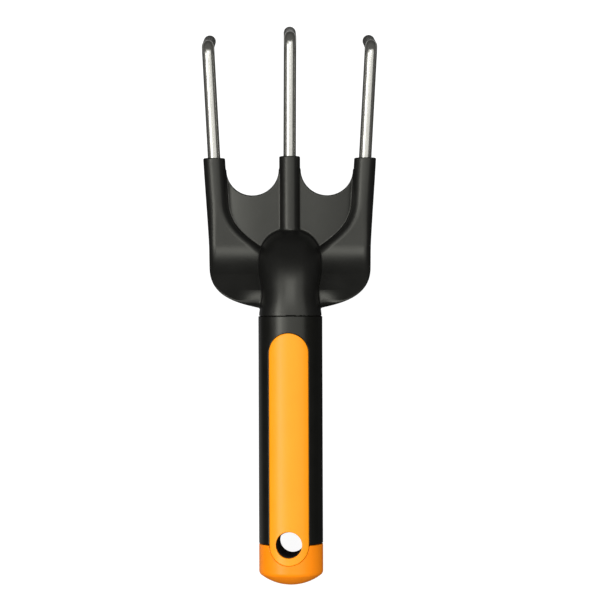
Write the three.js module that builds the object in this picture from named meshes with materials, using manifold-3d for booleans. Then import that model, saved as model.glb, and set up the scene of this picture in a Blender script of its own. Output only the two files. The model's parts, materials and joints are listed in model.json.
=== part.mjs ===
// A three-tined hand cultivator: steel tines in a moulded head, and a handle with a soft grip.
// The tool is drawn lying along +Y with its handle's axis on y,
// and then tipped to stand on its own tines and butt.
import * as THREE from "three";
import { mergeVertices } from "three/addons/utils/BufferGeometryUtils.js";
import Module from "manifold-3d";

const wasm = await Module();
wasm.setup();

// Driving sizes, in millimetres, with the seam between head and handle at y = 0.
const handleRadius = 16;
const handleLength = 134.3;
const headReach = 80;
const headHalfWidth = 43.86;
const rodRadius = 3.175;
const rodDrop = 15;
const tineReach = 144.9;
const tineDepth = 49;
const turn = THREE.MathUtils.degToRad;

// Play between pieces that touch on the real tool.
const seatGap = 0.3;
// How far a cutting body runs past what it cuts.
const overrun = 2;

// Head.
const splay = turn(3.25);
const socketRadius = 5.56;
const middleSocketRadius = 5.3;
const middleSocketLead = 0.9;
const socketRim = 0.5;
const shoulderHalfHeight = 5;
const shoulderEdge = 4;
const rampSlope = turn(32);
const rampFront = 35;
const rampFrontRound = 10.5;
const crestPlace = 15;
const crestRound = 6;
const crestAcross = 32;
const webThickness = 4;
const webFlatHalf = 12;
const webCrownRadius = 65;
const bayRadius = 13.3;
const bayPlace = 74.4;
const webRear = 30;
const armBendPlace = 58;
const cornerPlace = 23.9;
const rearCornerAcross = 19.9;
const rearCornerPlace = 5.05;
const rearMiddlePlace = 0.25;
const armRootAcross = 14.6;
const armRootPlace = 34.8;
const armRootMiddlePlace = 32.5;

// Neck.
const neckRadius = 15.5;
const waistRadius = 14.1;
const waistPlace = 11;
const elbowWidePlace = 24.3;
const elbowDeepRadius = 15;
const archRadius = 72;
const archTurn = turn(11);
const elbowRadius = 19.5;
const elbowSlope = turn(70);
const shinLength = 11;
const footLift = 0.5;
const neckEdgeRound = 0.7;

// Tang inside the handle.
const tangRibHalf = 1.8;
const tangRootRadius = 8.9;
const tangTipRadius = 8.2;

// Tines.
const bendRadius = 6;
const legLean = turn(10);
const sideTineSetback = 4.4;
const rodBury = 44;
const anchorLength = 9;
const anchorHalfWidth = 3.9;
const anchorHalfHeight = 2.2;
const tipLength = 5;
const tipFlatHalf = 1.1;

// Handle.
const seamGroove = 0.3;
const coreRadius = 13.2;
const coreBoreRadius = 9.2;
const capLength = 20.7;
const buttThickness = 7.7;
const domeHeight = 5.9;
const capEdgeRound = 0.6;
const gripEdgeRound = 0.5;
const panelHalfWidth = 9.8;
const panelTop = 8.5;
const panelFootPast = 0.5;
const panelCrownRadius = 17;
const panelStep = 0.2;
const holeSetback = 21.1;
const holeRadius = 6.2;
const holeWall = 9;
const tangEndRoom = 6;
const handleTurn = turn(4);

// Places along the handle, counted from the seam, that follow from the sizes above.
const capPlace = handleLength - capLength;
const coreEndPlace = handleLength - buttThickness;
const holePlace = handleLength - holeSetback;
const panelFootMiddle = holePlace + panelFootPast;
const coreBoreDepth = holePlace - holeRadius - holeWall;
const tangLength = coreBoreDepth - tangEndRoom;

// How finely round things are cut.
const roundSides = 48;
const rodSides = 16;
const socketSides = 32;
const edgeSteps = 4;
const faceSteps = 6;
const bendSteps = 7;
const arcSteps = 16;
const neckSteps = 16;

// Colours and finishes, as the photograph shows them.
const headFinish = new THREE.MeshStandardMaterial({ color: 0x2c2c29, roughness: 0.42, metalness: 0 });
const gripFinish = new THREE.MeshStandardMaterial({ color: 0x1b1b18, roughness: 0.7, metalness: 0 });
const coreFinish = new THREE.MeshStandardMaterial({ color: 0x191917, roughness: 0.6, metalness: 0 });
const orangeFinish = new THREE.MeshStandardMaterial({ color: 0xf7941a, roughness: 0.45, metalness: 0 });
const steelFinish = new THREE.MeshStandardMaterial({ color: 0xb9b8b2, roughness: 0.28, metalness: 1 });

// Solids and booleans.

function solidOf(geometry) {
  const bare = new THREE.BufferGeometry();
  bare.setAttribute("position", geometry.getAttribute("position"));
  if (geometry.index) {
    bare.setIndex(geometry.index);
  }
  const merged = mergeVertices(bare, handleRadius / 1e6);
  const solid = new wasm.Manifold(
    new wasm.Mesh({
      numProp: 3,
      vertProperties: new Float32Array(merged.attributes.position.array),
      triVerts: new Uint32Array(merged.index.array),
    }),
  );
  return solid;
}

function geometryOf(solid) {
  const mesh = solid.getMesh();
  const geometry = new THREE.BufferGeometry();
  geometry.setAttribute("position", new THREE.BufferAttribute(mesh.vertProperties, 3));
  geometry.setIndex(new THREE.BufferAttribute(mesh.triVerts, 1));
  return geometry;
}

function meshOf(name, solid, material) {
  const geometry = geometryOf(solid);
  geometry.computeVertexNormals();
  const mesh = new THREE.Mesh(geometry, material);
  mesh.name = name;
  return mesh;
}

// Skins a row of closed sections with the same number of points and caps both ends.
function loft(sections) {
  const count = sections[0].length;
  const points = sections.flat();
  const index = [];
  for (let row = 0; row + 1 < sections.length; row += 1) {
    for (let i = 0; i < count; i += 1) {
      const a = row * count + i;
      const b = row * count + ((i + 1) % count);
      index.push(a, b, a + count);
      index.push(b, b + count, a + count);
    }
  }
  [0, sections.length - 1].forEach((row) => {
    const middle = new THREE.Vector3();
    sections[row].forEach((point) => middle.add(point));
    points.push(middle.divideScalar(count));
    for (let i = 0; i < count; i += 1) {
      const a = row * count + i;
      const b = row * count + ((i + 1) % count);
      index.push(...(row ? [a, b, points.length - 1] : [b, a, points.length - 1]));
    }
  });
  const geometry = new THREE.BufferGeometry().setFromPoints(points);
  geometry.setIndex(index);
  return outward(geometry);
}

// Turns the faces round if the closed surface is inside out.
function outward(geometry) {
  const place = geometry.getAttribute("position");
  const index = geometry.index.array;
  const corner = [new THREE.Vector3(), new THREE.Vector3(), new THREE.Vector3()];
  let volume = 0;
  for (let i = 0; i < index.length; i += 3) {
    corner.forEach((point, k) => point.fromBufferAttribute(place, index[i + k]));
    volume += corner[0].dot(corner[1].clone().cross(corner[2]));
  }
  if (volume < 0) {
    for (let i = 0; i < index.length; i += 3) {
      [index[i + 1], index[i + 2]] = [index[i + 2], index[i + 1]];
    }
  }
  return geometry;
}

// A closed oval section.
function ring(middle, across, up, halfWidth, halfHeight, sides) {
  return Array.from({ length: sides }, (_, i) => {
    const angle = (2 * Math.PI * i) / sides;
    return middle
      .clone()
      .addScaledVector(across, halfWidth * Math.cos(angle))
      .addScaledVector(up, halfHeight * Math.sin(angle));
  });
}

// A closed section with flat faces and round edges, and places along its two faces where it can bend.
function slab(middle, across, up, halfWidth, halfHeight, edge) {
  const corners = [
    [1, 1, 0],
    [-1, 1, 1],
    [-1, -1, 2],
    [1, -1, 3],
  ];
  const points = [];
  corners.forEach(([side, level, quarter]) => {
    for (let i = 0; i <= edgeSteps; i += 1) {
      const angle = (Math.PI / 2) * (quarter + i / edgeSteps);
      points.push([
        side * (halfWidth - edge) + edge * Math.cos(angle),
        level * (halfHeight - edge) + edge * Math.sin(angle),
      ]);
    }
    if (side === level) {
      for (let i = 1; i < faceSteps; i += 1) {
        const share = 1 - (2 * i) / faceSteps;
        points.push([side * share * (halfWidth - edge), level * halfHeight]);
      }
    }
  });
  return points.map(([a, b]) => middle.clone().addScaledVector(across, a).addScaledVector(up, b));
}

// A revolved solid whose axis lies along y: the profile holds [radius, y] pairs.
function revolved(profile, sides = roundSides) {
  const points = profile.map(([radius, y]) => new THREE.Vector2(Math.max(radius, 0), y));
  return solidOf(outwardLathe(points, sides));
}

function outwardLathe(points, sides) {
  const lathe = new THREE.LatheGeometry(points, sides);
  const bare = new THREE.BufferGeometry();
  bare.setAttribute("position", lathe.getAttribute("position"));
  bare.setIndex(lathe.index);
  return outward(mergeVertices(bare, handleRadius / 1e6));
}

// Points of a quarter turn from one [radius, y] to another round their common corner.
function roundedCorner(from, to) {
  return Array.from({ length: edgeSteps + 1 }, (_, i) => {
    const angle = (Math.PI / 2) * (i / edgeSteps);
    return [
      from[0] + (to[0] - from[0]) * (1 - Math.cos(angle)),
      from[1] + (to[1] - from[1]) * Math.sin(angle),
    ];
  });
}

function upright(radius, low, high, sides = roundSides) {
  const geometry = new THREE.CylinderGeometry(radius, radius, high - low, sides);
  geometry.rotateX(Math.PI / 2);
  geometry.translate(0, 0, (low + high) / 2);
  return geometry;
}

// Where an arm's middle line lies across the head at a place y along it.
const socketAcross = headHalfWidth - socketRadius;
function armAcross(y) {
  return socketAcross - (headReach - y) * Math.tan(splay);
}

// Head.

const rodHeight = -rodDrop;
const flat = (x, y) => new THREE.Vector2(x, y);

// The head's inner and outer rails on the right side, from the socket's end to the middle.
function armRails() {
  const bendShare = 0.52;
  const rootShare = 0.5;
  const innerBend = flat(armAcross(armBendPlace) - socketRadius, armBendPlace);
  const innerRoot = flat(armRootAcross, armRootPlace);
  const run = innerBend.y - innerRoot.y;
  const breadth = innerBend.x - innerRoot.x;
  const innerCurve = new THREE.CubicBezierCurve(
    innerBend,
    flat(innerBend.x - run * bendShare * Math.tan(splay), innerBend.y - run * bendShare),
    flat(innerRoot.x + breadth * rootShare, innerRoot.y + run * (1 - rootShare) * (1 - rootShare)),
    innerRoot,
  );
  const outerBend = flat(armAcross(armBendPlace) + socketRadius, armBendPlace);
  const outerCorner = flat(armAcross(cornerPlace) + socketRadius, cornerPlace);
  const rearCorner = flat(rearCornerAcross, rearCornerPlace);
  const rearSlope = (rearCornerPlace - rearMiddlePlace) / rearCornerAcross;
  const cornerShare = 0.64;
  const rearShare = 0.5;
  const outerCurve = new THREE.CurvePath();
  outerCurve.add(new THREE.LineCurve(outerBend, outerCorner));
  const drop = outerCorner.y - rearCorner.y;
  const sweep = outerCorner.x - rearCorner.x;
  outerCurve.add(new THREE.CubicBezierCurve(
    outerCorner,
    flat(outerCorner.x - drop * cornerShare * Math.tan(splay), outerCorner.y - drop * cornerShare),
    flat(rearCorner.x + sweep * rearShare, rearCorner.y + sweep * rearShare * rearSlope),
    rearCorner,
  ));
  return { innerCurve, outerCurve, innerRoot, rearCorner };
}

// Rungs between the rails, from the right socket to the middle of the head.
function armRungs() {
  const { innerCurve, outerCurve, innerRoot, rearCorner } = armRails();
  const rungs = [];
  const rimSteps = 3;
  for (let i = 0; i <= rimSteps; i += 1) {
    const angle = (Math.PI / 2) * (i / rimSteps);
    const y = headReach - socketRim * (1 - Math.cos(angle));
    const inset = socketRim * (1 - Math.sin(angle));
    const half = socketRadius - inset;
    const x = armAcross(y);
    rungs.push({ inner: flat(x - half, y), outer: flat(x + half, y), share: 0, inset });
  }
  const curveSteps = 14;
  for (let i = 0; i <= curveSteps; i += 1) {
    const share = i / curveSteps;
    const inner = innerCurve.getPointAt(share);
    const outer = outerCurve.getPointAt(share);
    rungs.push({ inner, outer, share, inset: 0 });
  }
  const middleSteps = 3;
  const innerMiddle = flat(0, armRootMiddlePlace);
  const outerMiddle = flat(0, rearMiddlePlace);
  for (let i = 1; i <= middleSteps; i += 1) {
    const share = i / middleSteps;
    rungs.push({
      inner: innerRoot.clone().lerp(innerMiddle, share),
      outer: rearCorner.clone().lerp(outerMiddle, share),
      share: 1,
      inset: 0,
    });
  }
  return rungs;
}

// A run that starts level and bends, over its first stretch, into a climb of one in one.
function easedRun(past, stretch) {
  const bent = THREE.MathUtils.clamp(past, 0, stretch);
  return bent ** 2 / (2 * stretch) + Math.max(past - stretch, 0);
}

// How far the shoulder has risen at a place on its ramp towards the handle.
// The ramp ends in a level crest beside the neck, and the crest fades outwards.
function liftAt(x, y) {
  const crest = 1 - THREE.MathUtils.smoothstep(Math.abs(x), neckRadius, crestAcross);
  const climbed = easedRun(rampFront - y, rampFrontRound) - crest * easedRun(crestPlace - y, crestRound);
  return Math.tan(rampSlope) * climbed;
}

// Both arms and the shoulder between them, as rounded sections carried between two rails.
function wishbone() {
  const up = new THREE.Vector3(0, 0, 1);
  const edgeShare = 0.995;
  const rungs = armRungs();
  const mirrored = rungs
    .slice(0, -1)
    .reverse()
    .map(({ inner, outer, share, inset }) => ({
      inner: flat(-inner.x, inner.y),
      outer: flat(-outer.x, outer.y),
      share,
      inset,
    }));
  const sections = [...rungs, ...mirrored].map(({ inner, outer, share, inset }) => {
    const middle = inner.clone().add(outer).divideScalar(2);
    const across = outer.clone().sub(inner);
    const halfWidth = across.length() / 2;
    across.normalize();
    const halfHeight = THREE.MathUtils.lerp(socketRadius - inset, shoulderHalfHeight, share);
    const edge = THREE.MathUtils.lerp(socketRadius - inset, shoulderEdge, Math.min(1, 2 * share));
    const section = slab(
      new THREE.Vector3(middle.x, middle.y, rodHeight),
      new THREE.Vector3(across.x, across.y, 0),
      up,
      halfWidth,
      halfHeight,
      edge * edgeShare,
    );
    section.forEach((point) => {
      point.z += liftAt(point.x, point.y);
    });
    return section;
  });
  return solidOf(loft(sections));
}

// The web between the arms: flat beside the middle socket, and crowned down towards the arms.
function web() {
  const bayAcross = (armAcross(bayPlace) - socketRadius + middleSocketRadius) / 2;
  const heelAcross = armRootAcross * 2;
  const flankPlace = (armBendPlace + webRear) / 2;
  const plan = new THREE.Shape();
  plan.moveTo(0, webRear);
  plan.lineTo(heelAcross, webRear);
  plan.lineTo(armAcross(armBendPlace), flankPlace);
  plan.lineTo(armAcross(bayPlace), bayPlace);
  plan.lineTo(bayAcross + bayRadius, bayPlace);
  plan.absarc(bayAcross, bayPlace, bayRadius, 0, -Math.PI, true);
  plan.lineTo(bayRadius - bayAcross, bayPlace);
  plan.absarc(-bayAcross, bayPlace, bayRadius, 0, -Math.PI, true);
  plan.lineTo(-armAcross(bayPlace), bayPlace);
  plan.lineTo(-armAcross(armBendPlace), flankPlace);
  plan.lineTo(-heelAcross, webRear);
  plan.closePath();
  const block = new THREE.ExtrudeGeometry(plan, {
    depth: 2 * socketRadius,
    bevelEnabled: false,
    curveSegments: arcSteps,
  });
  block.translate(0, 0, rodHeight - socketRadius);
  return solidOf(block).intersect(crownedSheet());
}

// A sheet of even thickness whose section is flat in the middle and bends down in an arc on each side.
function crownedSheet() {
  const thick = webThickness / 2;
  const reachAngle = Math.asin((armAcross(headReach) - webFlatHalf) / webCrownRadius);
  const up = Math.PI / 2;
  const section = new THREE.Shape();
  section.absarc(webFlatHalf, -webCrownRadius, webCrownRadius + thick, up, up - reachAngle, true);
  section.absarc(webFlatHalf, -webCrownRadius, webCrownRadius - thick, up - reachAngle, up, false);
  section.absarc(-webFlatHalf, -webCrownRadius, webCrownRadius - thick, up, up + reachAngle, false);
  section.absarc(-webFlatHalf, -webCrownRadius, webCrownRadius + thick, up + reachAngle, up, true);
  section.closePath();
  const sheet = new THREE.ExtrudeGeometry(section, {
    depth: headReach,
    bevelEnabled: false,
    curveSegments: edgeSteps,
  });
  sheet.rotateX(Math.PI / 2);
  sheet.translate(0, headReach + overrun, rodHeight);
  return solidOf(sheet);
}

function middleSocket() {
  const end = headReach + middleSocketLead;
  const profile = [
    [0, webRear],
    [middleSocketRadius, webRear],
    ...roundedCorner([middleSocketRadius, end - socketRim], [middleSocketRadius - socketRim, end]),
    [0, end],
  ];
  return revolved(profile, socketSides).translate([0, 0, rodHeight]);
}

// Part of the way from one size to another, eased at both ends.
function eased(from, to, share) {
  return from + ((to - from) * (1 - Math.cos(Math.PI * THREE.MathUtils.clamp(share, 0, 1)))) / 2;
}

// Half of the neck's width at a distance along its middle line: it dips to the waist and grows again.
function neckHalfWidth(along) {
  const waist = eased(neckRadius, waistRadius, along / waistPlace);
  return eased(waist, neckRadius, (along - waistPlace) / (elbowWidePlace - waistPlace));
}

// The neck's middle line: a gentle arch, a tighter elbow and a straight shin.
function neckLine(along) {
  const arch = Math.min(along / archRadius, archTurn);
  const pastArch = Math.max(along - archRadius * archTurn, 0);
  const tilt = Math.min(arch + pastArch / elbowRadius, elbowSlope);
  const pastElbow = Math.max(pastArch - elbowRadius * (elbowSlope - archTurn), 0);
  const y = archRadius * Math.sin(arch)
    + elbowRadius * (Math.sin(tilt) - Math.sin(arch))
    + pastElbow * Math.cos(tilt);
  const z = archRadius * (Math.cos(arch) - 1)
    + elbowRadius * (Math.cos(tilt) - Math.cos(arch))
    - pastElbow * Math.sin(tilt);
  return { middle: new THREE.Vector3(0, y, z), tilt };
}

// The neck: a waisted round bar that bends down through its elbow and stands inside the web.
function neck() {
  const across = new THREE.Vector3(1, 0, 0);
  const sections = [];
  const put = (along, inset) => {
    const { middle, tilt } = neckLine(along);
    const up = new THREE.Vector3(0, Math.sin(tilt), Math.cos(tilt));
    const halfWidth = neckHalfWidth(along) - inset;
    const halfHeight = eased(neckRadius, elbowDeepRadius, along / elbowWidePlace) - inset;
    sections.push(ring(middle, across, up, halfWidth, halfHeight, roundSides));
  };
  put(0, neckEdgeRound);
  const neckLength = archRadius * archTurn + elbowRadius * (elbowSlope - archTurn) + shinLength;
  for (let i = 0; i <= neckSteps; i += 1) {
    put(THREE.MathUtils.lerp(neckEdgeRound, neckLength, i / neckSteps), 0);
  }
  const footHeight = rodHeight - webThickness / 2 + footLift;
  const below = new THREE.BoxGeometry(headReach, 2 * headReach, headReach);
  below.translate(0, 0, footHeight - headReach / 2);
  return solidOf(loft(sections)).subtract(solidOf(below));
}

// The tang: a cross of ribs that fills the core's bore, with a chamfered end.
function tang() {
  const cross = new THREE.Shape();
  const half = tangRibHalf;
  const reach = tangRootRadius;
  const corners = [
    [half, half],
    [half, reach],
    [-half, reach],
    [-half, half],
    [-reach, half],
    [-reach, -half],
    [-half, -half],
    [-half, -reach],
    [half, -reach],
    [half, -half],
    [reach, -half],
    [reach, half],
  ];
  cross.setFromPoints(corners.map(([x, y]) => flat(x, y)));
  const ribs = new THREE.ExtrudeGeometry(cross, { depth: tangLength + neckEdgeRound, bevelEnabled: false });
  ribs.rotateX(Math.PI / 2);
  ribs.translate(0, neckEdgeRound, 0);
  const round = revolved([
    [0, -tangLength],
    [tangTipRadius - neckEdgeRound * 2, -tangLength],
    [tangTipRadius, -tangLength + neckEdgeRound * 2],
    [tangRootRadius, 0],
    [tangRootRadius, overrun],
    [0, overrun],
  ]);
  return solidOf(ribs).intersect(round);
}

// Tines.

// A tine's middle line: straight out of its socket, round the bend and down the leg.
function tineSections(reach, buried, spread, play) {
  const bend = Math.PI / 2 - legLean;
  const straightEnd = reach - (bendRadius + rodRadius) * Math.cos(legLean) ** 2;
  const legLength = (tineDepth - bendRadius * (1 - Math.sin(legLean))) / Math.cos(legLean);
  const across = new THREE.Vector3(1, 0, 0);
  const sections = [];
  const put = (y, z, tilt, halfWidth, halfHeight) => {
    const up = new THREE.Vector3(0, Math.sin(tilt), Math.cos(tilt));
    const middle = new THREE.Vector3(0, y, z);
    sections.push(ring(middle, across, up, halfWidth + play, halfHeight + play, rodSides));
  };
  const start = headReach - buried;
  put(start - play, 0, 0, anchorHalfWidth, anchorHalfHeight);
  put(start + anchorLength / 2, 0, 0, anchorHalfWidth, anchorHalfHeight);
  put(start + anchorLength, 0, 0, rodRadius, rodRadius);
  for (let i = 0; i <= bendSteps; i += 1) {
    const angle = (bend * i) / bendSteps;
    put(
      straightEnd + bendRadius * Math.sin(angle),
      -bendRadius * (1 - Math.cos(angle)),
      angle,
      rodRadius,
      rodRadius,
    );
  }
  const kneeY = straightEnd + bendRadius * Math.sin(bend);
  const kneeZ = -bendRadius * (1 - Math.cos(bend));
  const nearTipShare = 0.9;
  const endShare = 0.6;
  const stations = [
    [legLength - tipLength, rodRadius, rodRadius],
    [legLength - tipLength / 3, rodRadius * nearTipShare, (rodRadius + tipFlatHalf) / 2],
    [legLength, rodRadius * endShare, tipFlatHalf * endShare],
  ];
  stations.forEach(([along, halfWidth, halfHeight]) => {
    put(kneeY + along * Math.cos(bend), kneeZ - along * Math.sin(bend), bend, halfWidth, halfHeight);
  });
  return loft(sections)
    .translate(0, -headReach, 0)
    .rotateZ(-spread)
    .translate(0, headReach, 0);
}

const tines = [
  { name: "tine_left", side: -1 },
  { name: "tine_middle", side: 0 },
  { name: "tine_right", side: 1 },
];

function tineGeometry(side, play) {
  const reach = side ? tineReach - sideTineSetback : tineReach;
  const buried = side ? rodBury : rodBury - middleSocketLead;
  const geometry = tineSections(reach, buried, side * splay, play);
  return geometry.translate(side * socketAcross, 0, rodHeight);
}

function head() {
  let solid = wishbone().add(web()).add(middleSocket()).add(neck()).add(tang());
  tines.forEach(({ side }) => {
    solid = solid.subtract(solidOf(tineGeometry(side, seatGap)));
  });
  return meshOf("head", solid, headFinish);
}

function tine({ name, side }) {
  return meshOf(name, solidOf(tineGeometry(side, 0)), steelFinish);
}

// Handle. Its parts are drawn with the panel facing +Z.

// The outline of the panel, or of the recess round it when grown.
function panelOutline(grow) {
  const half = panelHalfWidth + grow;
  const top = panelHalfWidth + panelTop;
  const shape = new THREE.Shape();
  shape.absarc(0, -top, half, 0, Math.PI, false);
  shape.absarc(0, -panelFootMiddle, half, Math.PI, 2 * Math.PI, false);
  shape.closePath();
  return shape;
}

function panelBlock(grow, low, high) {
  const geometry = new THREE.ExtrudeGeometry(panelOutline(grow), {
    depth: high - low,
    bevelEnabled: false,
    curveSegments: arcSteps,
  });
  geometry.translate(0, 0, low);
  return solidOf(geometry);
}

const panelEdgeHeight = Math.sqrt(handleRadius ** 2 - panelHalfWidth ** 2) + panelStep;
const panelCrownMiddle = panelEdgeHeight - Math.sqrt(panelCrownRadius ** 2 - panelHalfWidth ** 2);

function lengthwise(radius, from, to, height = 0, sides = roundSides) {
  const geometry = new THREE.CylinderGeometry(radius, radius, from - to, sides);
  geometry.translate(0, (from + to) / 2, height);
  return solidOf(geometry);
}

function hangingHole(grow = 0) {
  const reach = handleRadius + overrun;
  const geometry = upright(holeRadius + grow, -reach, reach);
  geometry.translate(0, -holePlace, 0);
  return solidOf(geometry);
}

function handleCore() {
  const end = -coreEndPlace;
  const profile = [
    [coreBoreRadius, -seamGroove],
    [coreRadius, -seamGroove],
    [coreRadius, end],
    [0, end],
    [0, -coreBoreDepth],
    [coreBoreRadius, -coreBoreDepth],
    [coreBoreRadius, -seamGroove],
  ];
  return meshOf("handle_core", revolved(profile).subtract(hangingHole()), coreFinish);
}

// The cap's tongue at the back, round the hanging hole.
function backTongue(grow) {
  const shape = new THREE.Shape();
  const half = panelHalfWidth + grow;
  shape.absarc(0, -holePlace, half, 0, Math.PI, false);
  shape.lineTo(-half, -capPlace - overrun);
  shape.lineTo(half, -capPlace - overrun);
  shape.closePath();
  const geometry = new THREE.ExtrudeGeometry(shape, {
    depth: handleRadius,
    bevelEnabled: false,
    curveSegments: arcSteps,
  });
  geometry.translate(0, 0, -handleRadius - seatGap);
  return solidOf(geometry);
}

function softGrip() {
  const front = -seamGroove;
  const rear = -capPlace + seatGap / 2;
  const inside = coreRadius + seatGap;
  const profile = [
    [inside, front],
    [handleRadius - gripEdgeRound, front],
    ...roundedCorner([handleRadius - gripEdgeRound, front], [handleRadius, front - gripEdgeRound]).slice(1),
    [handleRadius, rear],
    [inside, rear],
    [inside, front],
  ];
  const solid = revolved(profile)
    .subtract(panelBlock(seatGap, 0, handleRadius + overrun))
    .subtract(backTongue(seatGap));
  return meshOf("soft_grip", solid, gripFinish);
}

function frontPanel() {
  const solid = panelBlock(0, 0, handleRadius + overrun)
    .intersect(lengthwise(panelCrownRadius, 0, -handleLength, panelCrownMiddle, 2 * roundSides))
    .subtract(lengthwise(coreRadius + seatGap, overrun, -handleLength))
    .subtract(hangingHole());
  return meshOf("front_panel", solid, orangeFinish);
}

function endCap() {
  const inside = coreRadius + seatGap;
  const rim = handleLength - domeHeight;
  const domeRadius = (handleRadius ** 2 + domeHeight ** 2) / (2 * domeHeight);
  const domeMiddle = -(handleLength - domeRadius);
  const domeSteps = 8;
  const halfSpan = Math.asin((handleRadius - capEdgeRound) / domeRadius);
  const dome = Array.from({ length: domeSteps + 1 }, (_, i) => {
    const angle = halfSpan * (1 - i / domeSteps);
    return [domeRadius * Math.sin(angle), domeMiddle - domeRadius * Math.cos(angle)];
  });
  const bottom = -coreEndPlace - seatGap;
  const profile = [
    [0, bottom],
    [inside, bottom],
    [inside, -capPlace - seatGap / 2],
    [handleRadius, -capPlace - seatGap / 2],
    [handleRadius, -rim + capEdgeRound],
    ...dome,
    [0, bottom],
  ];
  const back = lengthwise(handleRadius, 0, -capPlace - overrun)
    .subtract(lengthwise(inside, overrun, -handleLength))
    .intersect(backTongue(0));
  const solid = revolved(profile)
    .add(back)
    .subtract(panelBlock(seatGap, 0, handleRadius + overrun))
    .subtract(hangingHole());
  return meshOf("end_cap", solid, orangeFinish);
}

// The tool as drawn, lying along y.
const tool = new THREE.Group();
tool.add(head());
tines.forEach((each) => tool.add(tine(each)));
const handle = new THREE.Group();
handle.add(handleCore(), softGrip(), frontPanel(), endCap());
handle.rotation.y = -handleTurn;
tool.add(handle);

// The tool stands on the tips of its outer tines and on the lower edge of its butt.
function restAngle() {
  tool.updateMatrixWorld(true);
  const tip = lowest(tool.getObjectByName("tine_right"));
  const butt = lowest(tool.getObjectByName("end_cap"));
  return Math.atan2(butt.z - tip.z, tip.y - butt.y);
}

// The lowest point of a mesh, and of several such points the one furthest from the seam.
function lowest(mesh) {
  const place = mesh.geometry.getAttribute("position");
  const point = new THREE.Vector3();
  const found = new THREE.Vector3(0, 0, Infinity);
  const level = handleRadius / 1e4;
  for (let i = 0; i < place.count; i += 1) {
    point.fromBufferAttribute(place, i).applyMatrix4(mesh.matrixWorld);
    const lower = point.z < found.z - level;
    const further = Math.abs(point.z - found.z) <= level && Math.abs(point.y) > Math.abs(found.y);
    if (lower || further) {
      found.copy(point);
    }
  }
  return found;
}

tool.rotation.x = restAngle();
const cultivator = new THREE.Group();
cultivator.add(tool);
cultivator.updateMatrixWorld(true);
const bounds = new THREE.Box3().setFromObject(tool, true);
tool.position.set(
  -(bounds.min.x + bounds.max.x) / 2,
  -(bounds.min.y + bounds.max.y) / 2,
  -bounds.min.z,
);

export default cultivator;
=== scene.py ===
# %% [markdown]
# # Dressing a hand cultivator
# The tool is a black moulded head, three bent steel rods held in it, and a handle: a plastic
# core, a soft black sleeve, an orange panel let into the sleeve, and an orange cap at the butt.
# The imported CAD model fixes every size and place. This file gives each piece its fine shape
# and its finish, and then lights the tool as a studio photograph does.

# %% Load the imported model
import json
from math import cos, pi, radians, sin, sqrt, tan

import bpy
import numpy as np
from mathutils import Matrix


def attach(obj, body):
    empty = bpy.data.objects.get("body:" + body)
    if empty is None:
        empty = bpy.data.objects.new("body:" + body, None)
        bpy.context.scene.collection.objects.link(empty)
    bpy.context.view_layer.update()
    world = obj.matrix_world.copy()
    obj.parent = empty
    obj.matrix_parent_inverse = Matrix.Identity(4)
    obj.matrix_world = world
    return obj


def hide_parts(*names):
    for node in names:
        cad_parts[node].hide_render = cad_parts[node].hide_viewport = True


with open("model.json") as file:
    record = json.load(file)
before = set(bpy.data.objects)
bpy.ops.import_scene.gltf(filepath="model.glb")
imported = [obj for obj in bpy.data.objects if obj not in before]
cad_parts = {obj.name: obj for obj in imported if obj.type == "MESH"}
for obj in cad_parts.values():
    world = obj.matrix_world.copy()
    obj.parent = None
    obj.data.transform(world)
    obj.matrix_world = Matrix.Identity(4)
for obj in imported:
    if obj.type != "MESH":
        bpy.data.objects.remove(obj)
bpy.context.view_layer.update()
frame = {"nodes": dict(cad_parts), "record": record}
print("CAD nodes:", ", ".join(sorted(frame["nodes"])))

# %% [markdown]
# ## A straight frame to draw in
# The tool stands on its tine tips and its butt, so its handle slants. Shapes are simpler when
# they are drawn straight, in millimetres: y runs along the tool from the seam between head
# and handle, z is up from the handle's axis, and x is to the right. The mount on the head's
# web, in the record, faces the straight frame's z, and that gives the slant and the place.
# The handle is fitted to the head with a small turn about its own axis, as the photograph shows.

# %% From the straight frame to the standing tool
MM_PER_M = 1000
ROD_DROP = 15.0
WEB_HALF = 2.0
FACE_ACROSS, FACE_ALONG = 8.7, 52.0
HANDLE_TURN = radians(-4.6)

web_face = next(m for m in frame["record"]["mounts"] if m["name"] == "web_face_right")
_, lean, rise = web_face["axis"]
STAND = np.array([[1, 0, 0], [0, rise, lean], [0, -lean, rise]])
face_spot = np.array([FACE_ACROSS, FACE_ALONG, WEB_HALF - ROD_DROP])
LIFT = MM_PER_M * np.array(web_face["pos_m"]) - STAND @ face_spot
TURN = np.array([
    [cos(HANDLE_TURN), 0, sin(HANDLE_TURN)],
    [0, 1, 0],
    [-sin(HANDLE_TURN), 0, cos(HANDLE_TURN)],
])
print("slant", round(np.degrees(np.arcsin(-lean)), 3), "degrees, seam at", LIFT.round(3), "mm")


def stood(points):
    """Straight-frame points in millimetres, turned by STAND, moved by LIFT, in metres."""
    return (points @ STAND.T + LIFT) / MM_PER_M


# %% [markdown]
# ## Putting worked-out points into a mesh
# Every new piece here is an array of points and an array of faces. One helper makes the
# object, lets it ride on the tool's body, hides the CAD node that it stands for, and turns the
# faces outwards if the closed surface came out inside out. Its signed volume tells: it is the
# sum, over all corners, of the little pyramids from the origin, and it must be positive.

# %% From arrays to a piece
def signed_volume(points, faces):
    """Sum over the triangles of a . (b x c) / 6, with each face fanned from its first corner."""
    a, b, c = (points[faces[:, k]] for k in range(3))
    total = np.einsum("ij,ij->", a, np.cross(b, c))
    if faces.shape[1] == 4:
        total += np.einsum("ij,ij->", a, np.cross(c, points[faces[:, 3]]))
    return total / 6


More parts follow.
